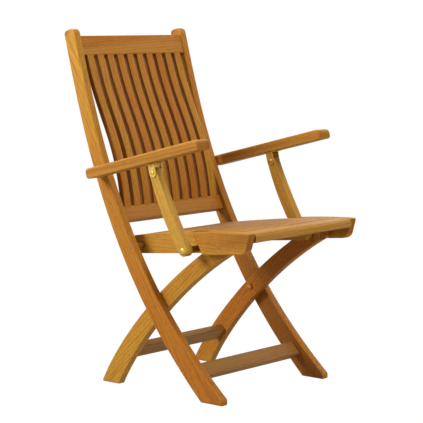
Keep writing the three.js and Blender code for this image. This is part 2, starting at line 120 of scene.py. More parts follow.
def graded(middle: float, change: float, height: Array) -> Array:
    """Values about a middle one that change evenly from the lowest to the greatest height."""
    return middle + change * ((height - height.min()) / np.ptp(height) - 0.5)


@dataclass(frozen=True)
class SideCurve:
    """Bezier curve in the side view through its first and last control point, read by length."""

    controls: tuple[Pair, ...]

    def samples(self, count: int = 801) -> tuple[Array, Array]:
        """Points of the curve by the Bernstein sum, and the running length to each."""
        t = np.linspace(0.0, 1.0, count)
        order = len(self.controls) - 1
        weights = [math.comb(order, k) * t**k * (1 - t) ** (order - k) for k in range(order + 1)]
        points = np.stack(weights, axis=1) @ np.array(self.controls)
        steps = np.linalg.norm(np.diff(points, axis=0), axis=1)
        return points, np.concatenate([[0.0], np.cumsum(steps)])

    @property
    def length(self) -> float:
        """Whole length of the curve."""
        return float(self.samples()[1][-1])

    def at(self, lengths: Array) -> tuple[Array, Array]:
        """Points and unit directions along the curve, running on straight past its ends.

        Args:
            lengths: Distances along the curve from its first point.

        Returns:
            Points and directions, one row for each length.
        """
        points, run = self.samples()
        slopes = unit(np.gradient(points, run, axis=0))
        inside = np.clip(lengths, 0.0, run[-1])
        place = np.stack([np.interp(inside, run, points[:, k]) for k in (0, 1)], axis=-1)
        along = unit(np.stack([np.interp(inside, run, slopes[:, k]) for k in (0, 1)], axis=-1))
        return place + along * (lengths - inside)[:, None], along

    def length_at_height(self, height: float) -> float:
        """Length along a rising curve at which it reaches a height."""
        points, run = self.samples()
        return float(np.interp(height, points[:, 1], run))


def fillet(before: Array, corner: Array, after: Array, radius: float, parts: int) -> tuple[Array, float]:
    """Circular arc that touches both legs of a corner, and how far from the corner it starts.

    Args:
        before: A point on the leg that comes in to the corner.
        after: A point on the leg that goes out.
        radius: Radius of the arc; zero keeps the corner, and so does a nearly straight run.
        parts: Steps along the arc.

    Returns:
        Points of the arc and the reach of the arc along each leg.
    """
    back, ahead = unit(before - corner), unit(after - corner)
    half = 0.5 * math.acos(float(np.clip(back @ ahead, -1.0, 1.0)))
    nearly_straight = 0.49 * math.pi
    if radius <= 0.0 or half > nearly_straight:
        return corner[None, :], 0.0
    reach = radius / math.tan(half)
    centre = corner + unit(back + ahead) * radius / math.sin(half)
    first = corner + back * reach - centre
    last = corner + ahead * reach - centre
    sweep = math.atan2(first[0] * last[1] - first[1] * last[0], float(first @ last))
    angles = math.atan2(first[1], first[0]) + sweep * np.linspace(0.0, 1.0, parts + 1)
    return centre + radius * np.stack([np.cos(angles), np.sin(angles)], axis=1), reach


def closed(runs: Sequence[Any], radii: Sequence[float], parts: int = 8) -> Array:
    """Closed outline through runs of points, with straight lines between and rounded corners.

    Args:
        runs: Polylines and single corner points, in their order.
        radii: Radius at the end of each edge: a polyline is an edge, and so is each line between.
        parts: Steps along each fillet.

    Returns:
        Points of the outline, counted anticlockwise.
    """
    rows = [np.atleast_2d(run) for run in runs]
    edges = []
    for run, following in zip(rows, [*rows[1:], rows[0]]):
        edges += ([run] if len(run) > 1 else []) + [np.stack([run[-1], following[0]])]
    nexts = [*edges[1:], edges[0]]
    arcs = [fillet(a[-2], a[-1], b[1], radius, parts) for a, b, radius in zip(edges, nexts, radii)]
    least = 0.05
    pieces = []
    for i, edge in enumerate(edges):
        from_start, to_end = (np.linalg.norm(edge - edge[k], axis=1) for k in (0, -1))
        kept = (from_start > arcs[i - 1][1] + least) & (to_end > arcs[i][1] + least)
        pieces += [edge[kept], arcs[i][0]]
    outline = np.concatenate(pieces)
    ahead = np.roll(outline, -1, axis=0)
    area = np.sum(outline[:, 0] * ahead[:, 1] - outline[:, 1] * ahead[:, 0])
    return outline if area > 0 else outline[::-1]


def steps_beside(outline: Array) -> tuple[Array, Array]:
    """Unit directions of the step into and the step out of each point of a closed outline."""
    return unit(outline - np.roll(outline, 1, axis=0)), unit(np.roll(outline, -1, axis=0) - outline)


def outward(outline: Array, mitre_limit: float = 0.35) -> Array:
    """Mitred outward normals of an anticlockwise outline, which move every edge by one unit."""
    before, after = (rearward(step) for step in steps_beside(outline))
    cosine = np.sum(before * after, axis=1, keepdims=True)
    return (before + after) / np.maximum(1.0 + cosine, mitre_limit)


@dataclass
class Shell:
    """Closed skin made of rings of points that follow each other across the chair.

    Attributes:
        points: Rings by points by (across, depth, height), in millimetres.
        edge: How much each point lies on a rounded edge, from 0 to 1.
        end: How much each point lies on a cut end of the fibres, from 0 to 1.
    """

    points: Array
    edge: Array
    end: Array

    @property
    def side(self) -> Array:
        """1 on the first and the last ring, which bound the flat sides, and 0 elsewhere."""
        flags = np.zeros_like(self.edge)
        flags[[0, -1]] = 1.0
        return flags


def with_across(across: Array, rings: Array) -> Array:
    """Rings of (depth, height) points with each ring's across place put before them."""
    return np.concatenate([np.broadcast_to(across[:, None, None], rings.shape[:2] + (1,)), rings], axis=2)


def plate(outline: Array, span: Pair, ease: float, heading: Optional[Pair] = None, steps: int = 4) -> Shell:
    """Board of even thickness with its outline's rims rounded over.

    Each ring is the outline moved in by ease * (1 - sin a) and stands ease * (1 - cos a)
    inside the nearer face, with a running over a quarter turn at both faces.

    Args:
        outline: Closed outline in the side view.
        span: Across limits of the board.
        ease: Radius of the rounded rims.
        heading: Direction of the fibres in the side view; without one they run across.
        steps: Steps of each rounded rim.
    """
    turn = np.linspace(0.0, 0.5 * math.pi, steps + 1)
    inset, depth = ease * (1.0 - np.sin(turn)), ease * (1.0 - np.cos(turn))
    across = np.concatenate([span[0] + depth, span[1] - depth[::-1]])
    normals = outward(outline)
    rings = outline[None] - np.concatenate([inset, inset[::-1]])[:, None, None] * normals[None]
    rim = np.sin(2.0 * turn)
    before, after = steps_beside(outline)
    bend = np.abs(before[:, 0] * after[:, 1] - before[:, 1] * after[:, 0])
    corner = ramp(bend, 0.04, 0.14) * (0.5 if heading else 1.0)
    edge = np.maximum(np.concatenate([rim, rim[::-1]])[:, None], corner[None, :])
    end = np.zeros_like(edge)
    if heading:
        end[:] = ramp(np.abs(unit(normals) @ unit(np.array(heading))), 0.72, 0.92)
    else:
        end[[0, -1]] = 1.0
    return Shell(with_across(across, rings), edge, end)


def turned(profile: Profile, centre: Pair, count: int = 40) -> Shell:
    """Round body about an axis across the chair: each (across, radius) of a profile sweeps a circle."""
    levels = np.array(profile, float)
    angles = np.linspace(0.0, 2.0 * math.pi, count, endpoint=False)
    circle = np.stack([np.cos(angles), np.sin(angles)], axis=1)
    rings = np.array(centre) + levels[:, 1][:, None, None] * circle[None]
    plain = np.zeros(rings.shape[:2])
    return Shell(with_across(levels[:, 0], rings), plain, plain.copy())


def dome(start: float, rise: int, height: float = 2.9, radius: float = HEAD_RADIUS) -> Profile:
    """Profile of a domed head, a quarter ellipse from its rim; rise is the sign of the way it rises."""
    almost_crown = 0.485 * math.pi
    turn = np.linspace(0.0, almost_crown, 9)
    pairs = [(start + rise * height * math.sin(a), radius * math.cos(a)) for a in turn]
    return pairs if rise > 0 else pairs[::-1]


def plug(face: float) -> Profile:
    """Profile of a wooden plug let into a face, with a slightly proud and rounded front."""
    return [(face - 3.0, 7.5), (face + 0.05, 7.5), (face + 0.3, 7.1), (face + 0.45, 4.5)]


def nut(face: float) -> Profile:
    """Profile of a round nut that bears on a face, up to the shank that goes on from there."""
    return [(face - 5.0, 5.0), (face - 4.0, 6.5), (face, 6.5), (face, PIN_RADIUS)]


def tube(low: float, high: float) -> Profile:
    """Profile of a spacer between two across places, with bevelled ends."""
    return [(low, 7.4), (low + 0.6, 8.0), (high - 0.6, 8.0), (high, 7.4)]


@dataclass(frozen=True)
class Timber:
    """How one piece was cut from the tree, which gives it a figure of its own, with the light and shade
    painted on it.

    Attributes:
        seed: Number that picks the place in the trunk.
        tone: Colour of the heartwood, from 0 for reddish brown to 1 for golden.
        heading: Direction in the side view of the fibres, or of the thickness where they run across.
        grey: How far the colour is turned to a dull brown, from 0 to 1: weathering on the stretchers,
            painted shade on the spacers, and more towards the rear on the seat slats.
        sides: How much painted shade darkens the flat sides, from 0 to 1.
        climb: How much more golden the upper end is than the lower end, painted light and shade along the
            piece.
        painted_shade_sink: How much deeper the painted shade on the sides is at the lower end than at the
            upper end.
        run: Way of the fibres.
    """

    seed: int
    tone: float
    heading: Pair = (0.0, 1.0)
    grey: float = 0.0
    sides: float = 0.0
    climb: float = 0.0
    painted_shade_sink: float = 0.0
    run: Run = Run.SIDE

    def fibre_places(self, points: Array) -> Array:
        """Places in the trunk, in metres, off the pith and tilted a little from it.

        Args:
            points: Points as (across, depth, height) in millimetres.

        Returns:
            Places as (along, wide, thick): along the fibres, and two ways square to them.
        """
        chance = np.random.default_rng(self.seed)
        heading = unit(np.array(self.heading, float))
        across, depth, height = points.T
        level = depth * heading[0] + height * heading[1]
        square = depth * heading[1] - height * heading[0]
        ways = (level, square, across) if self.run is Run.SIDE else (across, square, level)
        pith = chance.uniform((0.0, 0.035, 0.05), (9.0, 0.12, 0.13))
        pith[1] *= chance.choice([-1, 1])
        lean = np.array([0.0, *chance.uniform(-0.05, 0.05, 2)])
        centred = np.stack([METRES * (way - way.mean()) for way in ways], axis=-1)
        return centred + pith + lean * centred[:, :1]


def crosswise(seed: int, tone: float, heading: Pair = (0.0, 1.0), grey: float = 0.0) -> Timber:
    """Cut of a piece whose fibres run across the chair."""
    return Timber(seed, tone, heading, grey, run=Run.ACROSS)


@dataclass(eq=False)
class Value:
    """One number or vector that varies over a surface; arithmetic on it adds Math nodes."""

    tree: bpy.types.NodeTree
    socket: bpy.types.NodeSocket

    def _math(self, operation: str, *terms: Any) -> "Value":
        """Adds a Math node over the terms and returns its result."""
        node = self.tree.nodes.new("ShaderNodeMath")
        node.operation = operation
        for slot, term in zip(node.inputs, terms):
            if isinstance(term, Value):
                self.tree.links.new(term.socket, slot)
            else:
                slot.default_value = float(term)
        return Value(self.tree, node.outputs[0])

    def __add__(self, other: Any) -> "Value":
        """Sum, in either order."""
        return self._math("ADD", self, other)

    def __sub__(self, other: Any) -> "Value":
        """Difference."""
        return self._math("SUBTRACT", self, other)

    def __rsub__(self, other: Any) -> "Value":
        """Difference with a number in front."""
        return self._math("SUBTRACT", other, self)

    def __mul__(self, other: Any) -> "Value":
        """Product, in either order."""
        return self._math("MULTIPLY", self, other)

    def __pow__(self, other: Any) -> "Value":
        """Power."""
        return self._math("POWER", self, other)

    __radd__ = __add__
    __rmul__ = __mul__

    def sine(self) -> "Value":
        """Sine."""
        return self._math("SINE", self)

    def above(self, low: float, high: float) -> "Value":
        """Smooth step from 0 at low to 1 at high."""
        node = self.tree.nodes.new("ShaderNodeMapRange")
        node.interpolation_type = "SMOOTHSTEP"
        self.tree.links.new(self.socket, node.inputs["Value"])
        node.inputs["From Min"].default_value = low
        node.inputs["From Max"].default_value = high
        return Value(self.tree, node.outputs[0])

    def clamped(self) -> "Value":
        """The value held between 0 and 1."""
        held = self._math("ADD", self, 0.0)
        held.socket.node.use_clamp = True
        return held


class Palette:
    """The node tree of a material or a world while it is put together."""

    def __init__(self, owner: Any) -> None:
        """Empties the tree of a new material or world."""
        self.owner = owner
        owner.use_nodes = True
        self.tree = owner.node_tree
        self.tree.nodes.clear()

    def add(self, kind: str, sockets: Mapping[Socket, Any], output: Socket = 0, **settings: Any) -> Value:
        """Adds any node.

        Args:
            kind: The node's type, without the words that all types start with.
            sockets: Values or links by input name or number.
            output: Name or number of the output to return.
            **settings: Properties of the node, set before its sockets.

        Returns:
            The chosen output.
        """
        node = self.tree.nodes.new(f"ShaderNode{kind}")
        for name, value in settings.items():
            setattr(node, name, value)
        for key, value in sockets.items():
            if isinstance(value, Value):
                self.tree.links.new(value.socket, node.inputs[key])
            else:
                node.inputs[key].default_value = value
        return Value(self.tree, node.outputs[output])

    def stored(self, name: str) -> Value:
        """Vector that the mesh stores at each point."""
        return self.add("Attribute", {}, "Vector", attribute_name=name)

    def parts(self, vector: Value) -> list[Value]:
        """The three numbers of a vector."""
        first = self.add("SeparateXYZ", {0: vector})
        return [Value(self.tree, output) for output in first.socket.node.outputs]

    def scaled(self, vector: Value, *scale: float) -> Value:
        """Vector with each of its numbers multiplied by its own scale."""
        return self.add("VectorMath", {0: vector, 1: scale}, operation="MULTIPLY")

    def blend(self, share: Any, first: Any, second: Any) -> Value:
        """Colour between two colours by a share from 0 to 1."""
        return self.add("Mix", {0: share, 6: first, 7: second}, 2, data_type="RGBA", clamp_factor=True)

    def noise(self, places: Value, along: float, square: float, detail: float, rough: float = 0.5) -> Value:
        """Noise over places, with one scale along the fibres and another one square to them."""
        places = self.scaled(places, along, square, square)
        return self.add("TexNoise", {"Vector": places, "Scale": 1.0, "Detail": detail, "Roughness": rough})

    def bump(self, height: Value, strength: float, depth: float) -> Value:
        """Normal that is tilted by a height, for a depth in metres."""
        return self.add("Bump", {"Strength": strength, "Distance": depth, "Height": height}, "Normal")

    def finish(self, shader: Value, kind: str = "Material") -> Any:
        """Joins the shader to the output and gives the material or world."""
        end = self.tree.nodes.new(f"ShaderNodeOutput{kind}")
        self.tree.links.new(shader.socket, end.inputs["Surface"])
        return self.owner


def colour(code: str) -> tuple[float, float, float, float]:
    """Linear colour with full opacity from six hexadecimal digits, by the sRGB curve."""
    parts = [int(code[i:i + 2], 16) / 255.0 for i in (0, 2, 4)]
    linear = [p / 12.92 if p <= 0.04045 else ((p + 0.055) / 1.055) ** 2.4 for p in parts]
    return (*linear, 1.0)


@dataclass(frozen=True)
class OiledTeak:
    """Oiled teak with growth rings, streaks, open pores, darker end grain, and edges lightened by rubbing
    and by a painted highlight.

    Attributes:
        name: Name of the material.
        slot: Material slot of the record.
        ring_spacing: Distance between growth rings, in metres.
        golden: Colour of the palest heartwood.
        amber: Colour of the reddest heartwood.
        streak: Colour of late wood and streaks.
        pore: Colour inside the open pores.
        cut_end: Colour of a cut end.
        rubbed_and_highlight: Colour of an edge lightened by rubbing, also a painted highlight along the
            edges.
        weathered_and_shade: Dull colour that the wood turns to outdoors, also used as painted shade.
        side_coat: Colour of the painted shade on flat sides.
    """

    name: str
    slot: str
    ring_spacing: float
    golden: str
    amber: str
    streak: str
    pore: str
    cut_end: str
    rubbed_and_highlight: str
    weathered_and_shade: str
    side_coat: str

    def material(self) -> bpy.types.Material:
        """Builds the material: heartwood with one layer over the other, then gloss and relief."""
        paint = Palette(bpy.data.materials.new(self.name))
        places = paint.stored("fibre")
        tone, edge, end = paint.parts(paint.stored("look"))
        grey, side, _ = paint.parts(paint.stored("coat"))
        figure = paint.noise(places, along=1.3, square=16.0, detail=2.0)
        drift = paint.noise(places, along=0.8, square=5.0, detail=1.0)
        streaks = paint.noise(places, along=3.5, square=190.0, detail=3.0, rough=0.55)
        fibres = paint.noise(places, along=16.0, square=1100.0, detail=2.0)
        pores = paint.noise(places, along=48.0, square=1500.0, detail=0.0).above(0.60, 0.72)
        square = paint.scaled(places, 0.0, 1.0, 1.0)
        radius = paint.add("VectorMath", {0: square}, "Value", operation="LENGTH")
        years = (radius + drift * 0.03) * (2.0 * math.pi / self.ring_spacing)
        wave = (years + figure * 5.0).sine() * 0.5 + 0.5
        heart = (tone + (figure - 0.5) * 0.8 + (drift - 0.5) * 0.5).clamped()
        wood = paint.blend(heart, colour(self.amber), colour(self.golden))
        layers = (
            ((wave**5.0 * 0.32 + streaks.above(0.5, 0.78) * 0.45).clamped(), self.streak),
            (fibres.above(0.5, 0.75) * 0.22, self.streak),
            (pores * 0.4, self.pore),
            (end * 0.6, self.cut_end),
            # Rubbing on the edges, partly a painted highlight there.
            (edge * figure.above(0.3, 0.7) * 0.3, self.rubbed_and_highlight),
            # Dull brown, which is weathering on some pieces and painted shade on the spacers.
            ((grey * (0.7 + streaks * 0.6)).clamped(), self.weathered_and_shade),
            # Painted shade on the flat sides, such as in the gaps between the back slats.
            ((side * (0.8 + figure * 0.4)).clamped(), self.side_coat),
        )
        for share, code in layers:
            wood = paint.blend(share, wood, colour(code))
        relief = streaks * 0.3 + fibres * 0.35 + wave * 0.15 - pores * 0.8
        sockets = {
            "Base Color": wood,
            "Roughness": (0.52 + streaks * 0.14 + pores * 0.15 + end * 0.15).clamped(),
            "Specular IOR Level": 0.2,
            "Normal": paint.bump(relief, strength=0.35, depth=0.0005),
        }
        return paint.finish(paint.add("BsdfPrincipled", sockets, "BSDF"))


@dataclass(frozen=True)
class SatinMetal:
    """Satin metal, dulled in patches and finely brushed.

    Attributes:
        name: Name of the material.
        slot: Material slot of the record.
        bright: Colour where it is rubbed clean.
        dull: Colour where it has tarnished.
        rough: Middle roughness.
    """

    name: str
    slot: str
    bright: str
    dull: str
    rough: float

    def material(self) -> bpy.types.Material:
        """Builds the material."""
        paint = Palette(bpy.data.materials.new(self.name))
        places = paint.add("TexCoord", {}, "Object")
        patches = paint.noise(places, along=160.0, square=160.0, detail=4.0).above(0.35, 0.68)
        brushed = paint.noise(places, along=350.0, square=2400.0, detail=1.0)
        sockets = {
            "Base Color": paint.blend(patches * 0.75, colour(self.bright), colour(self.dull)),
            "Roughness": (patches * 0.2 + brushed * 0.1 + (self.rough - 0.1)).clamped(),
            "Metallic": 1.0,
            "Normal": paint.bump(brushed, strength=0.15, depth=0.0001),
        }
        return paint.finish(paint.add("BsdfPrincipled", sockets, "BSDF"))


class Finish(Enum):
    """The finishes of the chair; the colours of a wood come in the order of its attributes."""

    TEAK = OiledTeak(
        "teak_oiled", "teak", 0.0068,
        "C8942E", "B66D12", "804410", "4A2208", "7E4516", "D2A048", "7C5F38", "66300A",
    )
    SAPWOOD = OiledTeak(
        "teak_sapwood", "teak_light", 0.009,
        "CE9C3A", "C08A2C", "946422", "5E3A10", "94661E", "D8AE54", "8A6E3E", "5C340C",
    )
    PLUG = OiledTeak(
        "teak_plug", "teak_plug", 0.004,
        "BE8834", "AC6C20", "7C4614", "44200A", "80481A", "B88038", "5A381A", "5C2A08",
    )
    BRASS = SatinMetal("brass_satin", "brass", "D8B45A", "8F6E2C", 0.34)
    STEEL = SatinMetal("steel_browned", "steel", "C4874A", "A06A34", 0.75)


@dataclass
class CurvedBoard:
    """Board that follows a curve in the side view and stands level on the floor.

    Attributes:
        curve: Middle line of the board.
        foot_width: Packed width square to the curve at the foot.
        top_width: Packed width at the top.
        run_on: Length added past the curve's end.
        fuller: Width added at the front and rear edges at the foot, as the photograph shows them.
        fade: Power of the share left to the top by which that width falls; zero keeps it.
    """

    curve: SideCurve
    foot_width: float
    top_width: float
    run_on: float = 0.0
    fuller: Pair = (0.0, 0.0)
    fade: float = 0.0

    def left(self, lengths: Array) -> Array:
        """Share of the curve that is left to the top."""
        return 1.0 - np.clip(lengths / self.curve.length, 0.0, 1.0)

    def half(self, lengths: Array, power: float = 1.5) -> Array:
        """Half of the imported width, which changes most just above the foot."""
        changed = 1.0 - self.left(lengths) ** power
        return 0.5 * (self.foot_width + (self.top_width - self.foot_width) * changed)

    def edge(self, way: int, start: float = -60.0, count: int = 60) -> Array:
        """Front (-1) or rear (+1) edge from the floor upwards, worked out from a start below it."""
        lengths = np.linspace(start, self.curve.length + self.run_on, count)
        middle, along = self.curve.at(lengths)
        added = self.fuller[0 if way < 0 else 1] * self.left(lengths) ** self.fade
        side = middle + way * (self.half(lengths) + added)[:, None] * rearward(along)
        standing = side[side[:, 1] > 1.0]
        below = side[side[:, 1] <= 1.0][-1]
        share = (0.0 - below[1]) / (standing[0][1] - below[1])
        return np.concatenate([[below + share * (standing[0] - below)], standing])

    def section(self, height: float, size: float, inset: float, thickness: float) -> Array:
        """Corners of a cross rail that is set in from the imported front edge, square to the curve."""
        length = np.array([self.curve.length_at_height(height)])
        middle, along = self.curve.at(length)
        back = rearward(along)
        front = inset - self.half(length)[0]
        corners = [(-1, front), (-1, front + thickness), (1, front + thickness), (1, front)]
        return np.concatenate([middle + 0.5 * size * up * along + move * back for up, move in corners])

    def chord(self) -> Pair:
        """Direction from the first to the last point of the curve."""
        first, *_, last = np.array(self.curve.controls)
        return tuple(unit(last - first))


STILE = CurvedBoard(
    SideCurve(((-37.0, 0.0), (296.0, 300.0), (382.0, 650.0), (447.0, 897.0))),
    foot_width=51.0, top_width=37.0, fuller=(2.5, 3.5), fade=2.0,
)
LEG = CurvedBoard(
    SideCurve(((335.0, 0.0), (282.5, 103.6), (136.4, 279.3), (-63.2, 392.0))),
    foot_width=45.0, top_width=35.0, run_on=40.0, fuller=(8.0, 0.0),
)


def linked(name: str, data: Any) -> bpy.types.Object:
    """New object in the scene for a mesh, lamp or camera."""
    thing = bpy.data.objects.new(name, data)
    bpy.context.scene.collection.objects.link(thing)
    return thing


@dataclass
class Workshop:
    """Makes the pieces, and keeps the materials and the names of what was made."""

    materials: dict[Finish, bpy.types.Material] = field(default_factory=dict)
    made: list[str] = field(default_factory=list)

    def material(self, finish: Finish) -> bpy.types.Material:
        """Material of a finish, made on first use."""
        if finish not in self.materials:
            self.materials[finish] = finish.value.material()
        return self.materials[finish]

    def mesh(self, name: str, shells: Sequence[Shell], timber: Timber) -> bpy.types.Mesh:
        """Mesh of all the shells, with what the materials read stored at each point."""
        faces, smooth, start = [], [], 0
        for shell in shells:
            index = start + np.arange(shell.edge.size).reshape(shell.edge.shape)
            after = np.roll(index, -1, axis=1)
            quads = np.stack([index[:-1], after[:-1], after[1:], index[1:]], axis=-1).reshape(-1, 4)
            faces += [*quads.tolist(), index[0][::-1].tolist(), index[-1].tolist()]
            smooth += [True] * len(quads) + [False, False]
            start += shell.edge.size
        places = np.concatenate([shell.points.reshape(-1, 3) for shell in shells])
        flags = zip(*((shell.edge, shell.end, shell.side) for shell in shells))
        edge, end, side = (np.concatenate([values.ravel() for values in kind]) for kind in flags)
        mesh = bpy.data.meshes.new(name)
        mesh.from_pydata((METRES * (places + np.array([0.0, DEPTH_SHIFT, 0.0]))).tolist(), [], faces)
        mesh.polygons.foreach_set("use_smooth", smooth)
        height = places[:, 2]
        # Painted shade on the flat sides, which can deepen towards the lower end.
        dark = graded(timber.sides, -timber.painted_shade_sink, height) * side
        stored = {
            "fibre": timber.fibre_places(places),
            # Tone that changes with height: painted light and shade along the piece.
            "look": np.stack([graded(timber.tone, timber.climb, height), edge, end], axis=1),
            # Dull brown, and the painted shade on the flat sides.
            "coat": np.stack([np.full(start, timber.grey), dark, np.zeros(start)], axis=1),
        }
        for label, values in stored.items():
            layer = mesh.attributes.new(label, "FLOAT_VECTOR", "POINT")
            layer.data.foreach_set("vector", values.astype(np.float32).ravel())
        return mesh

    def piece(
        self, name: str, node: str, body: str, shells: Sequence[Shell],
        finish: Finish = Finish.TEAK, timber: Timber = Timber(0, 0.5), slot: str = "",
    ) -> None:
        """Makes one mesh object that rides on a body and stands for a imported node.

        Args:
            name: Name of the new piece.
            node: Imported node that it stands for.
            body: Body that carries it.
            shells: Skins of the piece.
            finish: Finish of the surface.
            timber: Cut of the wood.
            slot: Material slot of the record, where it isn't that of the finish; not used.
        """
        mesh = self.mesh(name, shells, timber)
        mesh.materials.append(self.material(finish))
        mesh.update()
        thing = linked(name, mesh)
        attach(thing, body)
        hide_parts(node)
        self.made.append(name)
        log.info("%s on %s, %d faces", name, body, len(mesh.polygons))

    def fitting(
        self, hand: Hand, kind: str, form: str, body: str, profile: Profile, centre: Pair,
        finish: Finish, count: int = 40, **more: Any,
    ) -> None:
        """Makes one side's round fitting, from the profile of the left one.

        Args:
            kind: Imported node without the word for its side.
            form: Word that ends the new piece's name.
            centre: Place of the axis in the side view.
            **more: Timber and slot of the piece.
        """
        node = f"{kind}_{hand.word}"
        shell = turned(hand.profile(profile), centre, count)
        self.piece(f"{node}_{form}", node, body, [shell], finish, **more)

    def side_board(self, hand: Hand, kind: str, body: str, shell: Shell, timber: Timber) -> None:
        """Makes one side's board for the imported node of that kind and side."""
        self.piece(f"{kind}_board_{hand.word}", f"{kind}_{hand.word}", body, [shell], timber=timber)

    def cross_board(self, node: str, body: str, outline: Array, reach: float, timber: Timber) -> None:
        """Makes one board that reaches equally far to both sides."""
        shell = plate(outline, (-reach, reach), 0.5)
        self.piece(f"{node}_board", node, body, [shell], timber=timber)


@dataclass(frozen=True)
class Layers:
    """Distances of the board layers from the middle plane, and the common radii of edges."""

    stile: Pair = (191.0, 213.0)
    leg: Pair = (168.0, 190.0)
    rail: Pair = (145.0, 167.0)
    arm: Pair = (214.5, 260.5)
    support: Pair = (218.0, 240.0)
    ease: float = 3.0
    slim: float = 2.2


LAYERS = Layers()


@dataclass
class BackFrame:
    """Stiles, back rails and slats, front stretcher and the fixed pivot hardware."""

    shop: Workshop
    toe: float = -63.0
    slat_count: int = 10
    slat_width: float = 23.0
    slat_thickness: float = 16.0
    slat_curve: SideCurve = SideCurve(((286.8, 446.0), (305.5, 636.0), (368.5, 666.0), (419.5, 846.0)))

    def build(self) -> None:
        """Makes every piece of the back frame."""
        for hand in Hand:
            self.stile(hand)
            self.hardware(hand)
        rails = (
            ("top_rail", (854.0, 50.0, 3.0, 22.0), crosswise(31, 0.22, (0.24, 0.97))),
            ("lower_rail", (434.0, 39.0, 11.5, 22.0), crosswise(32, -0.5, (0.4, 0.9), 0.2)),
            ("front_stretcher", (67.0, 39.5, 15.0, 20.0), crosswise(33, 0.25, (0.73, 0.68), 0.5)),
        )
        for node, sizes, timber in rails:
            outline = closed(STILE.section(*sizes), [3.0] * 4, 6)
            self.shop.cross_board(node, "back_frame", outline, LAYERS.stile[0] - HAIRLINE, timber)
        self.slats()

    def stile(self, hand: Hand) -> None:
        """One stile: level foot with a blunt toe, and a rounded top."""
        rear, front = STILE.edge(1), STILE.edge(-1)[::-1]
        front = front[front[:, 0] > self.toe]
        share = (self.toe - front[-2][0]) / (front[-1][0] - front[-2][0])
        lip = front[-2] + share * (front[-1] - front[-2])
        outline = closed([rear, [*front, lip], (self.toe, 0.0)], [11.0, 13.0, 6.0, 4.0, 3.2])
        # Painted light: the tone grows golden towards the top; the left stile also gets painted shade on
        # its sides, deepest at the foot.
        if hand is Hand.RIGHT:
            timber = Timber(10, 0.4, STILE.chord(), climb=0.9)
        else:
            timber = Timber(12, 0.15, STILE.chord(), sides=0.25, climb=0.3, painted_shade_sink=0.5)
        shell = plate(outline, hand.span(*LAYERS.stile), LAYERS.ease, (0.7, 0.71))
        self.shop.side_board(hand, "stile", "back_frame", shell, timber)

    def slats(self) -> None:
        """The slats of the back: one front curve, moved back by the thickness, side by side."""
        free = 2.0 * LAYERS.stile[0] - self.slat_count * self.slat_width
        pitch = self.slat_width + free / (self.slat_count + 1)
        front, along = self.slat_curve.at(np.linspace(-4.0, self.slat_curve.length, 60))
        outline = closed([front + self.slat_thickness * rearward(along), front[::-1]], [0.0] * 4)
        half = 0.5 * self.slat_width
        for i, tone in enumerate(np.random.default_rng(5).uniform(0.05, 0.5, self.slat_count)):
            middle = (i - 0.5 * (self.slat_count - 1)) * pitch
            shell = plate(outline, (middle - half, middle + half), LAYERS.slim, (0.3, 0.95))
            # The dark sides of each slat are painted shade in the narrow gaps between the slats.
            timber = Timber(40 + i, float(tone), (0.315, 0.949), sides=0.65)
            node = f"back_slat_{i + 1:02d}"
            self.shop.piece(f"{node}_board", node, "back_frame", [shell], timber=timber)

    def hardware(self, hand: Hand) -> None:
        """Plugs, bolts and spacers that stay with the stile."""
        body, make = "back_frame", self.shop.fitting
        inner, outer = LAYERS.stile
        wood = {"timber": crosswise(70 + hand.value, 0.3)}
        for pivot, place, layer in (("seat", SEAT_PIVOT, LAYERS.rail), ("leg", LEG_PIVOT, LAYERS.leg)):
            make(hand, f"{pivot}_pivot_plug", "disc", body, plug(outer), place, Finish.PLUG, **wood)
            bolt = [*nut(layer[0] - HAIRLINE), (outer - 8.3, PIN_RADIUS)]
            make(hand, f"{pivot}_pivot_bolt", "steel", body, bolt, place, Finish.STEEL)
        spacer = tube(LAYERS.rail[1] + HAIRLINE, inner - HAIRLINE)
        # The dull brown of the spacer is painted shade between stile and rail.
        wood = {"timber": crosswise(74 + hand.value, 0.0, grey=0.45), "slot": "teak"}
        make(hand, "seat_pivot_spacer", "tube", body, spacer, SEAT_PIVOT, Finish.PLUG, **wood)
        face, tip = inner - HAIRLINE, LAYERS.arm[0] + 28.0
        bolt = [*dome(inner - 3.0, -1), (face, HEAD_RADIUS), (face, PIN_RADIUS), (tip, PIN_RADIUS)]
        make(hand, "arm_pivot_bolt", "head", body, bolt, ARM_PIVOT, Finish.BRASS)


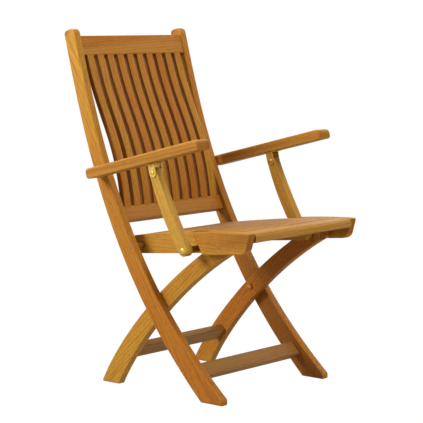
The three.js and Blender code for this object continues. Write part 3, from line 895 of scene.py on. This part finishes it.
@dataclass
class CrossLegs:
    """Cross legs with their stretcher and the rod under the seat."""

    shop: Workshop
    front_limit: float = -82.0
    top_level: float = 398.0
    rod_radius: float = 5.0
    rod_hold: float = 10.0

    def build(self) -> None:
        """Makes every piece that swings with the cross legs."""
        for hand in Hand:
            self.leg(hand)
        reach = LAYERS.leg[0] - HAIRLINE
        outline = closed(LEG.section(95.0, 39.0, 1.5, 20.0), [3.0] * 4, 6)
        timber = crosswise(34, 0.3, (-0.5, 0.86), 0.5)
        self.shop.cross_board("rear_stretcher", "cross_legs", outline, reach, timber)
        tip = reach + self.rod_hold
        bar = turned([(-tip, self.rod_radius), (tip, self.rod_radius)], LEG_ROD)
        self.shop.piece("leg_top_rod_bar", "leg_top_rod", "cross_legs", [bar], timber=crosswise(35, 0.3))

    def leg(self, hand: Hand) -> None:
        """One leg: level foot, and a top cut level under the slats and upright at the front."""
        rear, front = LEG.edge(1), LEG.edge(-1)[::-1]
        rear = rear[rear[:, 1] < self.top_level]
        front = front[front[:, 0] > self.front_limit]
        crown = (2.0 * rear[-1][0] - rear[-2][0], self.top_level)
        tip = (self.front_limit, self.top_level)
        lip = (self.front_limit, 2.0 * front[0][1] - front[1][1])
        outline = closed([[*rear, crown], tip, [lip, *front]], [9.0, 8.0, 5.0, 3.2, 3.2])
        # The redder top of each leg is painted shade under the seat, deepest on the left leg.
        tone, climb = (0.6, -0.3) if hand is Hand.RIGHT else (0.0, -0.9)
        timber = Timber(21 + hand.value, tone, LEG.chord(), climb=climb)
        shell = plate(outline, hand.span(*LAYERS.leg), LAYERS.ease, (-0.5, 0.86))
        self.shop.side_board(hand, "cross_leg", "cross_legs", shell, timber)


@dataclass
class Seat:
    """Dished slats, side rails, cheeks and the bolts of the support bars."""

    shop: Workshop
    front: float = -149.0
    rear: float = 254.0
    front_height: float = 425.0
    fall: float = 40.5
    rail_slats: int = 5
    slat_gap: float = 7.0
    slat_thickness: float = 18.0
    nosing_thickness: float = 22.5
    tones: tuple[float, ...] = (0.02, 0.12, 0.05, 0.25, 0.2, 0.4, 0.42, 0.7)

    def top(self, depth: Array) -> Array:
        """Height of the seat: level at the front, falling with the share of the depth to the 1.6."""
        share = np.clip((depth - self.front) / (self.rear - self.front), 0.0, 1.1)
        return self.front_height - self.fall * share**1.6

    def low(self, depth: float) -> Pair:
        """Point of the underside of rails and cheeks, which slopes down to the rear."""
        return (depth, 361.3 - 0.092 * depth)

    def top_edge(self, start: float, stop: float, drop: float = 0.0, count: int = 12) -> Array:
        """Edge along the seat's top between two depths, lowered by a drop."""
        depth = np.linspace(start, stop, count)
        return np.stack([depth, self.top(depth) - drop], axis=1)

    def build(self) -> None:
        """Makes every piece that swings with the seat."""
        for i in range(len(self.tones)):
            self.slat(i)
        for hand in Hand:
            self.rail(hand)
            self.cheek(hand)
            self.hardware(hand)

    def slat(self, index: int) -> None:
        """One cross slat, counted from the rear; the last is the thicker nosing."""
        last = len(self.tones) - 1
        nosing = index == last
        pitch = (self.rear - self.front + self.slat_gap) / len(self.tones)
        back = self.rear - index * pitch
        front = back - pitch + self.slat_gap
        thickness = self.nosing_thickness if nosing else self.slat_thickness
        upper, lower = (self.top_edge(back, front, drop, 5) for drop in (0.0, thickness))
        outline = closed([upper, lower[::-1]], [12.0 if nosing else 3.0, 3.0, 3.0, 3.0])
        reach = (LAYERS.rail[0] if index < self.rail_slats else LAYERS.stile[0]) - HAIRLINE
        node = "seat_front_slat" if nosing else f"seat_slat_{index + 1}"
        # The slats are duller and redder towards the rear.
        timber = crosswise(50 + index, self.tones[index], (0.05, 1.0), 0.2 + 0.065 * (last - index))
        self.shop.cross_board(node, "seat", outline, reach, timber)

    def notch(self, gap: float = 5.3, lean: float = math.radians(38.0)) -> Array:
        """Edge of the notch over the rod, a gap from its middle, whose rear wall leans from upright."""
        rod = np.array(LEG_ROD)
        arc = np.linspace(math.pi, lean, 14)
        crown = rod + gap * np.stack([np.cos(arc), np.sin(arc)], axis=1)
        rise = crown[-1][1] - self.low(crown[-1][0])[1]
        return np.array([self.low(rod[0] - gap), *crown, self.low(crown[-1][0] + math.tan(lean) * rise)])

    def rail(self, hand: Hand) -> None:
        """One side rail, stepped for the front slats and notched over the rod."""
        heading, step = (1.0, -0.06), 1.2
        front, rear = self.low(-87.0), self.low(284.0)
        upper = self.top_edge(rear[0], step)
        shelf = self.top_edge(step, front[0], self.slat_thickness + HAIRLINE, 6)
        radii = [2.4, 0.0, 3.0, 3.0, 0.0, 0.0, 20.0, 20.0]
        outline = closed([upper, shelf, front, self.notch(), rear], radii)
        timber = Timber(61 + hand.value, 0.8, heading)
        shell = plate(outline, hand.span(*LAYERS.rail), 1.6, heading)
        self.shop.side_board(hand, "seat_rail", "seat", shell, timber)

    def cheek(self, hand: Hand) -> None:
        """One front cheek, with a slanted back and a rounded lower front corner."""
        heading, upper = (1.0, -0.05), self.top_edge(31.0, self.front)
        outline = closed([upper, self.low(-135.0), self.low(1.0)], [4.5, 22.0, 4.0, 4.0])
        timber = Timber(65 + hand.value, 0.46, heading)
        shell = plate(outline, hand.span(*LAYERS.stile), LAYERS.ease, heading)
        self.shop.side_board(hand, "seat_cheek", "seat", shell, timber)

    def hardware(self, hand: Hand, plug_place: Pair = (-53.0, 388.0)) -> None:
        """Plug of the cheek, and bolt and spacer of the support bar."""
        make, rim = self.shop.fitting, plug(LAYERS.stile[1])
        wood = {"timber": crosswise(72 + hand.value, 0.3)}
        make(hand, "seat_cheek_plug", "disc", "seat", rim, plug_place, Finish.PLUG, **wood)
        face = LAYERS.support[1] + HAIRLINE
        bolt = [*nut(LAYERS.rail[0] - HAIRLINE), (face, PIN_RADIUS), *dome(face, 1)]
        make(hand, "support_pivot_bolt", "head", "seat", bolt, SUPPORT_FOOT, Finish.BRASS)
        spacer = tube(LAYERS.rail[1] + HAIRLINE, LAYERS.support[0] - HAIRLINE)
        # The dull brown of the spacer is painted shade between rail and support bar.
        wood = {"timber": crosswise(76 + hand.value, 0.0, grey=0.45), "slot": "teak"}
        make(hand, "support_spacer", "tube", "seat", spacer, SUPPORT_FOOT, Finish.PLUG, **wood)


@dataclass
class Arm:
    """One arm with the bracket and rivet under it."""

    shop: Workshop
    hand: Hand
    rise: float = 14.0
    thickness: float = 26.0
    reach: float = 370.0

    def ways(self) -> Array:
        """Unit directions forward along the arm and square to it upwards, one in each row."""
        cosine, sine = math.cos(math.radians(self.rise)), math.sin(math.radians(self.rise))
        return np.array([[-cosine, sine], [sine, cosine]])

    def block(self, rear: float, front: float, upper: float, lower: float) -> Array:
        """Corners of a block by places along the arm and above its middle line, from the upper rear one."""
        corners = np.array([(rear, upper), (front, upper), (front, lower), (rear, lower)])
        return np.array(ARM_PIVOT) + corners @ self.ways()

    def build(self) -> None:
        """Makes the arm, its bracket and its rivet."""
        half, body, ahead = 0.5 * self.thickness, f"arm_{self.hand.word}", tuple(self.ways()[0])
        outline = closed(self.block(-half, self.reach, half, -half), [12.5, 7.0, 7.5, 8.5])
        timber = Timber(81 + self.hand.value, 0.42, ahead)
        shell = plate(outline, self.hand.span(*LAYERS.arm), 3.6, ahead, 5)
        self.shop.side_board(self.hand, "armrest", body, shell, timber)
        self.bracket(body, f"arm_bracket_{self.hand.word}")

    def bracket(self, body: str, node: str, sheet: float = 2.0) -> None:
        """Channel of brass sheet with two rounded ears, and the rivet through them."""
        forward, below = self.ways() @ (np.array(SUPPORT_HEAD) - np.array(ARM_PIVOT))
        top = -0.5 * self.thickness - HAIRLINE
        base = closed(self.block(forward - 20.0, forward + 20.0, top, top - sheet), [0.6] * 4, 3)
        ear = self.block(forward - 11.0, forward + 11.0, top - 0.2, below - 11.0)
        ear = closed(ear, [0.0, 10.8, 10.8, 0.0], 10)
        inner, outer = LAYERS.support[0] - HAIRLINE, LAYERS.support[1] + HAIRLINE
        shells = [
            plate(base, self.hand.span(inner - sheet, outer + sheet), 0.5),
            plate(ear, self.hand.span(inner - sheet, inner), 0.4),
            plate(ear, self.hand.span(outer, outer + sheet), 0.4),
        ]
        self.shop.piece(f"{node}_channel", node, body, shells, Finish.BRASS)
        low, high = inner - sheet - HAIRLINE, outer + sheet + HAIRLINE
        pin = [*dome(low, -1, 1.1, 5.0), (low, 3.0), (high, 3.0), *dome(high, 1, 1.1, 5.0)]
        self.shop.fitting(self.hand, "bracket_rivet", "pin", body, pin, SUPPORT_HEAD, Finish.BRASS, 28)


@dataclass
class Support:
    """One bowed bar that holds an arm up from the seat."""

    shop: Workshop
    hand: Hand
    foot_width: float = 28.0
    head_width: float = 26.0
    swell: float = 4.0
    bow: float = 12.0

    def build(self) -> None:
        """Makes the bar: a bowed middle line with half widths that swell by a half sine wave."""
        foot, head = np.array(SUPPORT_FOOT), np.array(SUPPORT_HEAD)
        up = unit(head - foot)
        middle = 0.5 * (foot + head) + self.bow * rearward(up)
        curve = SideCurve((tuple(foot), tuple(middle), tuple(head)))
        lengths = np.linspace(-0.5 * self.foot_width, curve.length + 0.5 * self.head_width, 50)
        share = np.clip(lengths / curve.length, 0.0, 1.0)
        width = self.foot_width + (self.head_width - self.foot_width) * share
        line, along = curve.at(lengths)
        side = 0.5 * (width + self.swell * np.sin(math.pi * share))[:, None] * rearward(along)
        outline = closed([line + side, (line - side)[::-1]], [12.7, 12.7, 13.6, 13.6], 10)
        # Painted light and shade: the right bar's golden tone is painted light and the left bar's redder
        # tone painted shade.
        tone = 0.75 if self.hand is Hand.RIGHT else -0.2
        timber = Timber(91 + self.hand.value, tone, tuple(up))
        shell = plate(outline, self.hand.span(*LAYERS.support), LAYERS.slim, tuple(up))
        word = self.hand.word
        name, node = f"arm_support_bar_{word}", f"arm_support_{word}"
        self.shop.piece(name, node, f"support_{word}", [shell], Finish.SAPWOOD, timber)


def seen_directly(tree: bpy.types.NodeTree) -> Value:
    """1 for rays seen straight, mirrored or through something clear, 0 for light on the chair."""
    path = tree.nodes.new("ShaderNodeLightPath")
    kinds = ("Camera", "Glossy", "Transmission")
    first, second, third = (Value(tree, path.outputs[f"Is {kind} Ray"]) for kind in kinds)
    return (first + second + third).clamped()


@dataclass(frozen=True)
class Studio:
    """Camera at the photograph's viewpoint, pale floor and soft light.

    Attributes:
        camera_place: Viewpoint as (across, depth, height) in millimetres.
        turn: Turn of the view from straight ahead, in degrees.
        dip: Angle by which the view looks down, in degrees.
        lens: Focal length in millimetres.
        sensor: Width of the sensor in millimetres.
    """

    camera_place: tuple[float, float, float] = (-3226.9, -2608.8, 926.1)
    turn: float = -49.451
    dip: float = 6.572
    lens: float = 142.84
    sensor: float = 36.0

    def build(self) -> None:
        """Makes camera, floor, world and lamps."""
        self.camera()
        self.floor()
        self.world()
        self.lamp("left_light", (-2.3, 1.45, 1.8), size=1.2, power=84.0)
        self.lamp("top_light", (-0.9, 0.1, 3.4), size=1.6, power=24.0)
        self.lamp("front_light", (0.3, -2.7, 2.4), size=1.3, power=60.0)
        self.lamp("right_light", (2.6, 0.5, 1.9), size=2.2, power=30.0)

    def camera(self) -> None:
        """Places the camera by its turn and dip."""
        data = bpy.data.cameras.new("photo_camera")
        data.sensor_width = self.sensor
        data.lens = self.lens
        data.clip_end = 200.0
        turn, dip = math.radians(self.turn), math.radians(self.dip)
        right = Vector((math.cos(turn), math.sin(turn), 0.0))
        ahead = Vector((-math.sin(turn) * math.cos(dip), math.cos(turn) * math.cos(dip), -math.sin(dip)))
        basis = Matrix((right, right.cross(ahead), -ahead)).transposed().to_4x4()
        place = Vector(self.camera_place) + Vector((0.0, DEPTH_SHIFT, 0.0))
        thing = linked("photo_camera", data)
        thing.matrix_world = Matrix.Translation(place * METRES) @ basis
        bpy.context.scene.camera = thing

    def floor(self, side: float = 40.0) -> None:
        """Large pale floor; the camera sees it lightened, with the chair's shadow kept."""
        mesh = bpy.data.meshes.new("floor")
        corners = [(-side, -side, 0.0), (side, -side, 0.0), (side, side, 0.0), (-side, side, 0.0)]
        mesh.from_pydata(corners, [], [(0, 1, 2, 3)])
        paint = Palette(bpy.data.materials.new("pale_floor"))
        plain = paint.add("BsdfDiffuse", {"Color": (0.5, 0.5, 0.5, 1.0)}, "BSDF")
        glow = paint.add("Emission", {"Color": WHITE, "Strength": 1.06}, "Emission")
        share = seen_directly(paint.tree) * 0.94
        mesh.materials.append(paint.finish(paint.add("MixShader", {0: share, 1: plain, 2: glow})))
        linked("floor", mesh)

    def world(self) -> None:
        """Even white surroundings: full white to the camera and in reflections, dimmer as light."""
        paint = Palette(bpy.data.worlds.new("studio"))
        strength = seen_directly(paint.tree) * 0.86 + 0.14
        sky = paint.add("Background", {"Color": WHITE, "Strength": strength})
        bpy.context.scene.world = paint.finish(sky, "World")

    def lamp(self, name: str, place: Sequence[float], size: float, power: float) -> None:
        """Square soft lamp that looks at the middle of the chair."""
        data = bpy.data.lights.new(name, "AREA")
        data.shape = "SQUARE"
        data.size = size
        data.energy = power
        thing = linked(name, data)
        thing.location = place
        ahead = Vector((0.0, 0.0, 0.45)) - Vector(place)
        thing.rotation_euler = ahead.to_track_quat("-Z", "Y").to_euler()


def main() -> None:
    """Builds the studio and the chair's sub-assemblies in order."""
    logging.basicConfig(level=logging.INFO, format="%(message)s")
    shop = Workshop()
    Studio().build()
    BackFrame(shop).build()
    CrossLegs(shop).build()
    Seat(shop).build()
    for hand in Hand:
        Arm(shop, hand).build()
        Support(shop, hand).build()
    bpy.context.scene.view_settings.view_transform = "Standard"
    log.info("%d pieces", len(shop.made))


if __name__ == "__main__":
    main()
